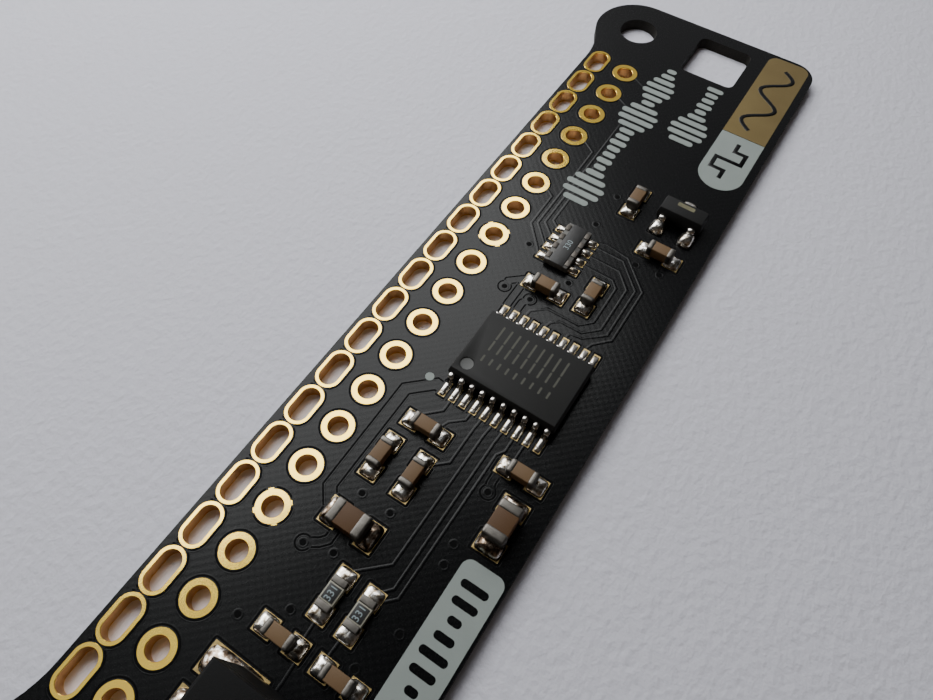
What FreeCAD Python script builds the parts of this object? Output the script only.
import FreeCAD, Part
import math
import os

# A slim add-on sound board that presses onto a 40-pin header: a thin circuit board with two rows of
# plated holes, a DAC chip with its chip parts, a regulator and a 3.5 mm line-out jack.
# Millimetres. X runs along the header, +Y towards the header edge, +Z up out of the parts side.
# The origin is midway between the two mounting holes, on the underside of the board.

# Header rows
columns = 20
hole_pitch = 2.54
row_spacing = 2.25
pin_hole_radius = 0.56
slot_width = 1.1
slot_web = 0.46

# Board
board_thickness = 0.8
header_edge_margin = 0.44
header_to_mounting_hole = 4.87
mounting_hole_radius = 1.375
tab_radius = 3.25
tab_fillet_radius = 6.0
corner_radius = 1.6
window_length = 4.25
window_width = 4.0
window_corner_radius = 0.5
mounting_hole_to_window = 4.3

# Jack
jack_length = 12.25
jack_width = 6.0
jack_height = 5.0
jack_edge_chamfer = 0.15
jack_nose_radius = 2.5
jack_nose_length = 2.0
jack_bore_radius = 1.8
jack_back_wall = 0.7
jack_row_gap = 3.275
jack_peg_radius = 0.5
jack_peg_inset = 2.3
jack_peg_recess = 0.15
peg_clearance = 0.05
contact_width = 1.2
contact_thickness = 0.22
contact_height = 3.6
contact_clearance = 0.05
contact_crest_width = 0.6
tip_contact_inset = 2.67
ring_contact_inset = 6.3
sleeve_contact_inset = 10.4
inner_foot_reach = 1.68
outer_foot_reach = 1.05
jack_pad_toe = 0.25
jack_pad_margin = 0.12
anchor_length = 1.23
anchor_overlap = 1.1
anchor_upright = 0.8

# DAC chip
jack_to_chip = 18.9
row_to_chip = 6.36
chip_to_far_edge = 5.27
chip_body_width = 4.4
chip_body_length = 6.5
chip_standoff = 0.1
chip_body_height = 0.95
chip_side_draft = 0.1
chip_lead_count = 10
chip_lead_pitch = 0.65
chip_lead_width = 0.3
chip_lead_thickness = 0.14
chip_lead_shoulder = 0.22
chip_lead_slope = 0.16
chip_lead_foot = 0.6
pin_mark_radius = 0.37
pin_mark_depth = 0.06
pin_mark_inset = 0.72

# Regulator
regulator_width = 1.3
regulator_length = 2.9
regulator_height = 1.0
regulator_lead_pitch = 1.9
regulator_lead_width = 0.42
regulator_lead_foot = 0.45

# Resistor array
array_length = 3.2
array_width = 1.6
array_height = 0.5
array_columns = 4
array_pitch = 0.8
array_terminal_width = 0.45
array_band = 0.3

# Chip capacitors and chip resistors
small_chip_length = 1.6
small_chip_width = 0.8
small_chip_height = 0.8
large_chip_length = 2.0
large_chip_width = 1.25
large_chip_height = 1.2
resistor_height = 0.48
small_band = 0.4
large_band = 0.55
end_cap_wall = 0.04
end_cap_chamfer = 0.06
overcoat_gap = 0.03
overcoat_margin = 0.08

# Pads and solder
pad_thickness = 0.035
pad_toe = 0.58
pad_heel = 0.42
pad_margin = 0.11
solder_rim = 0.07
solder_climb = 0.34
solder_sag = 0.3
lead_pad_toe = 0.22
lead_pad_heel = 0.12
lead_pad_margin = 0.04
regulator_pad_margin = 0.16
lead_solder_climb = 0.1

# Bare gold plate for the label, from the end and the far edge of the board
label_length = 9.2
label_width = 3.0
label_corner_radius = 0.7
label_edge_margin = 0.5
label_end_margin = 0.3

# Places of the chip parts from the centre of the DAC chip: along the board, across it
upright = 90
level = 0
small_capacitors = {
    "flying_capacitor": (-5.40, 2.46, upright),
    "charge_pump_capacitor": (-7.87, 3.51, level),
    "negative_rail_capacitor": (-7.87, 1.53, level),
    "left_filter_capacitor": (-17.13, 2.13, upright),
    "right_filter_capacitor": (-17.13, -1.12, upright),
    "analogue_supply_capacitor": (-4.90, -3.00, upright),
    "digital_supply_capacitor": (5.60, 1.73, upright),
    "core_supply_capacitor": (6.60, -0.77, level),
    "regulator_input_capacitor": (14.55, 0.28, level),
    "regulator_output_capacitor": (11.50, -2.77, upright),
}
large_capacitors = {
    "pump_supply_capacitor": (-11.45, 2.63, upright),
    "bulk_supply_capacitor": (-7.60, -3.49, level),
}
resistors = {
    "left_output_resistor": (-14.50, 1.33, level),
    "right_output_resistor": (-14.50, -0.27, level),
}
array_place = (8.85, 2.03)
regulator_place = (14.70, -2.72)

# Lines and levels that the pieces share
board_top = board_thickness
seat = board_top + pad_thickness
header_half = (columns - 1) * hole_pitch / 2
hole_row_y = -hole_pitch / 2
slot_row_y = hole_row_y + row_spacing
slot_length = hole_pitch - slot_web
header_edge_y = slot_row_y + slot_width / 2 + header_edge_margin
mounting_x = header_half + header_to_mounting_hole
board_end_x = mounting_x + tab_radius
jack_front_x = -board_end_x
jack_back_x = jack_front_x + jack_length
jack_header_side = hole_row_y - pin_hole_radius - jack_row_gap
jack_y = jack_header_side - jack_width / 2
jack_far_side = jack_header_side - jack_width
jack_axis_z = seat + jack_height / 2
chip_x = jack_back_x + jack_to_chip
chip_y = hole_row_y - row_to_chip
far_edge_y = chip_y - chip_to_far_edge

os.makedirs("parts", exist_ok=True)
up = FreeCAD.Vector(0, 0, 1)


def point(x, y, z=0.0):
    return FreeCAD.Vector(x, y, z)


def export(node, solids):
    """Write one node, a single solid or a group of separate ones."""
    group = solids if isinstance(solids, list) else [solids]
    shape = group[0] if len(group) == 1 else Part.makeCompound(group)
    shape.exportStep("parts/" + node + ".step")


def block(x0, x1, y0, y1, z0, z1):
    """A box between two corners, given in either order."""
    low = point(min(x0, x1), min(y0, y1), min(z0, z1))
    return Part.makeBox(abs(x1 - x0), abs(y1 - y0), abs(z1 - z0), low)


def placed(shape, x, y, turn=0):
    """A copy turned about its own upright axis and set down on the pads at one place."""
    copy = shape.copy()
    copy.rotate(point(0, 0), up, turn)
    copy.translate(point(x, y, seat))
    return copy


def circle(x, y, radius):
    return Part.Wire(Part.makeCircle(radius, point(x, y)))


def oblong(x, y, length, width):
    """A slot outline with round ends, long along X."""
    radius = width / 2
    run = length / 2 - radius
    left = Part.Arc(point(x - run, y + radius), point(x - run - radius, y), point(x - run, y - radius))
    right = Part.Arc(point(x + run, y - radius), point(x + run + radius, y), point(x + run, y + radius))
    near = Part.LineSegment(point(x - run, y - radius), point(x + run, y - radius))
    far = Part.LineSegment(point(x + run, y + radius), point(x - run, y + radius))
    return Part.Wire([left.toShape(), near.toShape(), right.toShape(), far.toShape()])


def sheet(wires, z0, z1):
    """A flat plate from an outline and its openings, between two levels."""
    face = Part.makeFace(wires, "Part::FaceMakerBullseye")
    face.translate(point(0, 0, z0))
    return face.extrude(point(0, 0, z1 - z0))


def prism(profile, width):
    """An (x, z) outline carried across a width, centred on Y = 0."""
    corners = [point(x, -width / 2, z) for x, z in profile]
    face = Part.Face(Part.makePolygon(corners + corners[:1]))
    return face.extrude(point(0, width, 0))


def mirrored(shape):
    """The same shape on the other side of X = 0."""
    return shape.mirror(point(0, 0), point(1, 0))


# Board: straight far edge, a round tab about each mounting hole, hollow curves down to the header edge
def board_outline():
    hollow_y = header_edge_y + tab_fillet_radius
    hollow_reach = math.sqrt((tab_radius + tab_fillet_radius) ** 2 - hollow_y ** 2)
    hollow_x = mounting_x - hollow_reach
    lean = math.atan2(hollow_y, -hollow_reach)
    meet = point(mounting_x + tab_radius * math.cos(lean), tab_radius * math.sin(lean))
    crown = point(mounting_x + tab_radius * math.cos(lean / 2), tab_radius * math.sin(lean / 2))
    sweep = (lean - math.pi / 2) / 2 - math.pi / 2
    dip_x = hollow_x + tab_fillet_radius * math.cos(sweep)
    dip_y = hollow_y + tab_fillet_radius * math.sin(sweep)
    dip = point(dip_x, dip_y)
    foot = point(hollow_x, header_edge_y)
    corner_x = board_end_x - corner_radius
    corner_y = far_edge_y + corner_radius
    round_off = corner_radius * math.sqrt(0.5)
    half = [
        Part.LineSegment(point(0, far_edge_y), point(corner_x, far_edge_y)),
        Part.Arc(
            point(corner_x, far_edge_y),
            point(corner_x + round_off, corner_y - round_off),
            point(board_end_x, corner_y),
        ),
        Part.LineSegment(point(board_end_x, corner_y), point(board_end_x, 0)),
        Part.Arc(point(board_end_x, 0), crown, meet),
        Part.Arc(meet, dip, foot),
        Part.LineSegment(foot, point(0, header_edge_y)),
    ]
    edges = [curve.toShape() for curve in half]
    edges += [mirrored(edge) for edge in edges]
    return Part.Wire(Part.__sortEdges__(edges))


def window_outline():
    """A rounded rectangular opening below the mounting hole at the label end."""
    y1 = -mounting_hole_to_window
    y0 = y1 - window_width
    x0 = mounting_x - window_length / 2
    cut = block(x0, x0 + window_length, y0, y1, 0, board_top)
    uprights = [e for e in cut.Edges if abs(e.tangentAt(e.FirstParameter).z) > 0.9]
    rounded = cut.makeFillet(window_corner_radius, uprights)
    return min(rounded.Faces, key=lambda face: face.CenterOfMass.z).OuterWire


# Header openings: a row of round pin holes and a row of slots, both plated through
column_x = [-header_half + hole_pitch * k for k in range(columns)]
peg_places = [jack_front_x + jack_peg_inset, jack_back_x - jack_peg_inset]
board_wires = [board_outline(), window_outline()]
board_wires += [circle(side * mounting_x, 0, mounting_hole_radius) for side in (-1, 1)]
board_wires += [circle(x, jack_y, jack_peg_radius + peg_clearance) for x in peg_places]
board_wires += [circle(x, hole_row_y, pin_hole_radius) for x in column_x]
board_wires += [oblong(x, slot_row_y, slot_length, slot_width) for x in column_x]
export("board", sheet(board_wires, 0, board_top))

# Label plate: bare gold-plated copper at the end away from the jack
label_x1 = board_end_x - label_end_margin
label_y0 = far_edge_y + label_edge_margin
label_plate = block(label_x1 - label_length, label_x1, label_y0, label_y0 + label_width, board_top, seat)
end_corners = [
    e for e in label_plate.Edges
    if abs(e.tangentAt(e.FirstParameter).z) > 0.9 and e.CenterOfMass.x > label_x1 - label_corner_radius
]
export("gold_label_plate", label_plate.makeFillet(label_corner_radius, end_corners))

component_pads = []
end_cap_solder = []
lead_solder = []


def pad(x0, x1, y0, y1):
    """A gold-plated pad just below the seat level."""
    return block(x0, x1, y0, y1, -pad_thickness, 0)


def fillet_of_solder(x, reach, climb, width):
    """A hollow wedge of solder that runs from a part's end, at x, down to the edge of its pad."""
    profile = [
        (x, 0),
        (x + reach, 0),
        (x + reach * solder_sag, climb * solder_sag),
        (x, climb),
    ]
    return prism(profile, width)


# Chip capacitors and chip resistors: a ceramic block with a metal cap wrapped over each end
def solder_down(length, width, x, y, turn):
    """The two pads of a chip part, and the solder that joins its ends to them."""
    half = length / 2
    pad_width = width + 2 * pad_margin
    solder_reach = pad_toe - solder_rim
    one_pad = pad(half - pad_heel, half + pad_toe, -pad_width / 2, pad_width / 2)
    one_wedge = fillet_of_solder(half, solder_reach, solder_climb, pad_width - 2 * solder_rim)
    for shape, group in ((one_pad, component_pads), (one_wedge, end_cap_solder)):
        group += [placed(shape, x, y, turn), placed(shape, x, y, turn + 180)]


def end_cap(length, width, height, band, core):
    """One end cap: a shell with bevelled outer edges, hollow where the ceramic goes in."""
    half = length / 2
    outer = block(half - band, half, -width / 2, width / 2, 0, height)
    inner_x = half - band
    bevelled = [e for e in outer.Edges if max(v.X for v in e.Vertexes) > inner_x + end_cap_wall]
    return outer.makeChamfer(end_cap_chamfer, bevelled).cut(core)


def capacitor(name, length, width, height, band, place):
    x, y, turn = chip_x + place[0], chip_y + place[1], place[2]
    half = length / 2 - end_cap_wall
    side = width / 2 - end_cap_wall
    core = block(-half, half, -side, side, end_cap_wall, height - end_cap_wall)
    cap = end_cap(length, width, height, band, core)
    export(name + "_body", placed(core, x, y, turn))
    export(name + "_end_caps", [placed(cap, x, y, turn), placed(cap, x, y, turn + 180)])
    solder_down(length, width, x, y, turn)


def clip(x0, x1, width, height, core):
    """A thin metal band folded over the end of a flat ceramic plate."""
    return block(x0, x1, -width / 2, width / 2, 0, height).cut(core)


def resistor(name, place):
    x, y, turn = chip_x + place[0], chip_y + place[1], place[2]
    length, width = small_chip_length, small_chip_width
    half = length / 2
    plate_top = resistor_height - end_cap_wall
    plate = block(-half + end_cap_wall, half - end_cap_wall, -width / 2, width / 2, end_cap_wall, plate_top)
    band_clip = clip(half - small_band, half, width, resistor_height, plate)
    coat_half = half - small_band - overcoat_gap
    coat_side = width / 2 - overcoat_margin
    coat = block(-coat_half, coat_half, -coat_side, coat_side, plate_top, resistor_height)
    export(name + "_plate", placed(plate, x, y, turn))
    export(name + "_overcoat", placed(coat, x, y, turn))
    export(name + "_end_caps", [placed(band_clip, x, y, turn), placed(band_clip, x, y, turn + 180)])
    solder_down(length, width, x, y, turn)


for name, place in small_capacitors.items():
    capacitor(name, small_chip_length, small_chip_width, small_chip_height, small_band, place)
for name, place in large_capacitors.items():
    capacitor(name, large_chip_length, large_chip_width, large_chip_height, large_band, place)
for name, place in resistors.items():
    resistor(name, place)


# Chips with gull-wing leads: a moulded body in two drafted halves, with bent strips out of its waist
def moulded_body(width, length, height):
    """The body from its underside at z = 0, with a flat waist as thick as the leads."""
    waist = (height - chip_lead_thickness) / 2
    levels = [
        (0, chip_side_draft),
        (waist, 0),
        (waist + chip_lead_thickness, 0),
        (height, chip_side_draft),
    ]
    rings = []
    for z, draft in levels:
        x = width / 2 - draft
        y = length / 2 - draft
        corners = [point(-x, -y, z), point(x, -y, z), point(x, y, z), point(-x, y, z)]
        rings.append(Part.makePolygon(corners + corners[:1]))
    return Part.makeLoft(rings, True, True)


def gull_lead(start, waist, foot, width):
    """A lead from the body's waist at x = start, level, down and out along its pad."""
    thick = chip_lead_thickness
    bend = start + chip_lead_shoulder
    heel = bend + chip_lead_slope
    profile = [
        (start, waist),
        (bend - thick / 2, waist),
        (heel - thick / 2, 0),
        (heel + foot, 0),
        (heel + foot, thick),
        (heel + thick / 2, thick),
        (bend + thick / 2, waist + thick),
        (start, waist + thick),
    ]
    return prism(profile, width)


def lead_set(start, waist, foot, width, margin):
    """One lead with its pad and the solder at its toe."""
    heel = start + chip_lead_shoulder + chip_lead_slope
    toe = heel + foot
    pad_width = width + 2 * margin
    lead_pad = pad(heel - lead_pad_heel, toe + lead_pad_toe, -pad_width / 2, pad_width / 2)
    solder = fillet_of_solder(toe, lead_pad_toe - solder_rim / 2, lead_solder_climb, width)
    return gull_lead(start, waist, foot, width), lead_pad, solder


chip_waist = chip_standoff + (chip_body_height - chip_lead_thickness) / 2
chip_body = moulded_body(chip_body_width, chip_body_length, chip_body_height)
mark_x = -chip_body_width / 2 + pin_mark_inset
mark_y = chip_body_length / 2 - pin_mark_inset
mark_floor = point(mark_x, mark_y, chip_body_height - pin_mark_depth)
chip_body = chip_body.cut(Part.makeCylinder(pin_mark_radius, pin_mark_depth, mark_floor))
chip_body.translate(point(0, 0, chip_standoff))
export("dac_chip_body", placed(chip_body, chip_x, chip_y))

chip_leads = []
chip_lead, chip_pad, chip_solder = lead_set(
    chip_body_width / 2, chip_waist, chip_lead_foot, chip_lead_width, lead_pad_margin
)
for k in range(chip_lead_count):
    along = (k - (chip_lead_count - 1) / 2) * chip_lead_pitch
    for turn in (0, 180):
        chip_leads.append(placed(chip_lead, chip_x, chip_y + along, turn))
        component_pads.append(placed(chip_pad, chip_x, chip_y + along, turn))
        lead_solder.append(placed(chip_solder, chip_x, chip_y + along, turn))
export("dac_chip_leads", chip_leads)

regulator_x = chip_x + regulator_place[0]
regulator_y = chip_y + regulator_place[1]
regulator_waist = chip_standoff + (regulator_height - chip_lead_thickness) / 2
regulator_body = moulded_body(regulator_width, regulator_length, regulator_height)
regulator_body.translate(point(0, 0, chip_standoff))
export("regulator_body", placed(regulator_body, regulator_x, regulator_y))

regulator_leads = []
regulator_lead, regulator_pad, regulator_solder = lead_set(
    regulator_width / 2,
    regulator_waist,
    regulator_lead_foot,
    regulator_lead_width,
    regulator_pad_margin,
)
for along, turn in ((regulator_lead_pitch / 2, 180), (-regulator_lead_pitch / 2, 180), (0, 0)):
    regulator_leads.append(placed(regulator_lead, regulator_x, regulator_y + along, turn))
    component_pads.append(placed(regulator_pad, regulator_x, regulator_y + along, turn))
    lead_solder.append(placed(regulator_solder, regulator_x, regulator_y + along, turn))
export("regulator_leads", regulator_leads)

# Resistor array: four resistors on one ceramic plate, with four terminals folded over each long side
array_x = chip_x + array_place[0]
array_y = chip_y + array_place[1]
array_top = array_height - end_cap_wall
plate_side = array_width / 2 - end_cap_wall
array_plate = block(-plate_side, plate_side, -array_length / 2, array_length / 2, end_cap_wall, array_top)
array_side = array_width / 2
array_clip = clip(array_side - array_band, array_side, array_terminal_width, array_height, array_plate)
coat_side = array_width / 2 - array_band - overcoat_gap
array_coat = block(-coat_side, coat_side, -array_length / 2, array_length / 2, array_top, array_height)
array_pad_width = array_terminal_width + 2 * lead_pad_margin
array_pad = pad(
    array_width / 2 - array_band, array_width / 2 + pad_toe, -array_pad_width / 2, array_pad_width / 2
)
array_solder = fillet_of_solder(array_width / 2, pad_toe - solder_rim, solder_climb, array_terminal_width)
array_terminals = []
for k in range(array_columns):
    along = (k - (array_columns - 1) / 2) * array_pitch
    for turn in (90, 270):
        array_terminals.append(placed(array_clip, array_x + along, array_y, turn))
        component_pads.append(placed(array_pad, array_x + along, array_y, turn))
        lead_solder.append(placed(array_solder, array_x + along, array_y, turn))
export("resistor_array_plate", placed(array_plate, array_x, array_y, upright))
export("resistor_array_overcoat", placed(array_coat, array_x, array_y, upright))
export("resistor_array_terminals", array_terminals)

# Jack: a moulded housing with a round bore, and stamped contacts let into grooves in its sides
jack_top = seat + jack_height
jack_mouth_x = jack_front_x - jack_nose_length
jack_bore_depth = jack_length + jack_nose_length - jack_back_wall
groove_width = contact_width + 2 * contact_clearance
crest_width = contact_crest_width + 2 * contact_clearance

along_x = point(1, 0, 0)
housing = block(jack_front_x, jack_back_x, jack_far_side, jack_header_side, seat, jack_top)
top_edges = [
    e for e in housing.Edges
    if abs(e.tangentAt(e.FirstParameter).x) > 0.9 and e.CenterOfMass.z > jack_axis_z
]
housing = housing.makeChamfer(jack_edge_chamfer, top_edges)
nose = Part.makeCylinder(
    jack_nose_radius, jack_nose_length, point(jack_mouth_x, jack_y, jack_axis_z), along_x
)
bore = Part.makeCylinder(
    jack_bore_radius, jack_bore_depth, point(jack_mouth_x, jack_y, jack_axis_z), along_x
)
housing = housing.fuse(nose)
for peg_x in peg_places:
    peg = Part.makeCylinder(jack_peg_radius, seat - jack_peg_recess, point(peg_x, jack_y, jack_peg_recess))
    housing = housing.fuse(peg)
housing = housing.removeSplitter()

jack_cuts = [bore]
jack_pads = []
jack_solder = []


def jack_contact(node, inset, header_side, reach):
    """A contact in a side groove: an upright leaf, a crest that meets the plug, and a soldered foot."""
    x = jack_back_x - inset
    side = jack_width / 2
    leaf = side - contact_thickness
    window_x = crest_width / 2
    window_z = contact_crest_width
    groove = block(-groove_width / 2, groove_width / 2, leaf, side, 0, contact_height + contact_clearance)
    middle = jack_height / 2
    window = block(-window_x, window_x, 0, leaf, middle - window_z, middle + window_z)
    strip = block(-contact_width / 2, contact_width / 2, leaf, side, 0, contact_height)
    foot = block(-contact_width / 2, contact_width / 2, side, side + reach, 0, contact_thickness)
    crest_y = jack_bore_radius + contact_clearance
    crest_half = window_z - contact_clearance
    crest = block(
        -contact_crest_width / 2,
        contact_crest_width / 2,
        crest_y,
        leaf,
        middle - crest_half,
        middle + crest_half,
    )
    contact = strip.fuse([foot, crest]).removeSplitter()
    pad_half = contact_width / 2 + jack_pad_margin
    foot_pad = pad(-pad_half, pad_half, side - jack_pad_margin, side + reach + jack_pad_toe)
    wedge = fillet_of_solder(side + reach, jack_pad_toe - solder_rim / 2, contact_thickness, contact_width)
    wedge.rotate(point(0, 0), up, 90)
    turn = 0 if header_side else 180
    jack_cuts.extend([placed(groove, x, jack_y, turn), placed(window, x, jack_y, turn)])
    export(node, placed(contact, x, jack_y, turn))
    jack_pads.append(placed(foot_pad, x, jack_y, turn))
    jack_solder.append(placed(wedge, x, jack_y, turn))


jack_contact("jack_tip_contact", tip_contact_inset, True, inner_foot_reach)
jack_contact("jack_ring_contact", ring_contact_inset, False, outer_foot_reach)
jack_contact("jack_sleeve_contact", sleeve_contact_inset, False, outer_foot_reach)

# Jack anchor: a plate under the back corner of the housing, turned up in a recess in its back
anchor_x0 = jack_back_x - anchor_length
leaf_x0 = jack_back_x - contact_thickness
anchor_y0 = jack_header_side - anchor_overlap
anchor_y1 = jack_header_side + inner_foot_reach
plate_z1 = seat + contact_thickness
leaf_z1 = seat + anchor_upright
recess_y0 = anchor_y0 - contact_clearance
recess_z1 = leaf_z1 + contact_clearance
plate_recess = block(anchor_x0 - contact_clearance, jack_back_x, recess_y0, jack_header_side, seat, plate_z1)
leaf_recess = block(leaf_x0, jack_back_x, recess_y0, jack_header_side, plate_z1, recess_z1)
jack_cuts += [plate_recess, leaf_recess]
anchor_plate = block(anchor_x0, jack_back_x, anchor_y0, anchor_y1, seat, plate_z1)
anchor_leaf = block(leaf_x0, jack_back_x, anchor_y0, jack_header_side, plate_z1, leaf_z1)
export("jack_anchor", anchor_plate.fuse(anchor_leaf).removeSplitter())
export("jack_housing", housing.cut(jack_cuts))
jack_pads.append(
    block(
        anchor_x0 - jack_pad_margin,
        jack_back_x + jack_pad_margin,
        anchor_y0 - jack_pad_margin,
        anchor_y1 + jack_pad_toe,
        board_top,
        seat,
    )
)
anchor_wedge = fillet_of_solder(
    0, jack_pad_toe - solder_rim / 2, contact_thickness, anchor_length
)
anchor_wedge.rotate(point(0, 0), up, 90)
jack_solder.append(placed(anchor_wedge, (anchor_x0 + jack_back_x) / 2, anchor_y1))
export("jack_solder", jack_solder)

export("component_pads", component_pads + jack_pads)
export("end_cap_solder", end_cap_solder)
export("lead_solder", lead_solder)
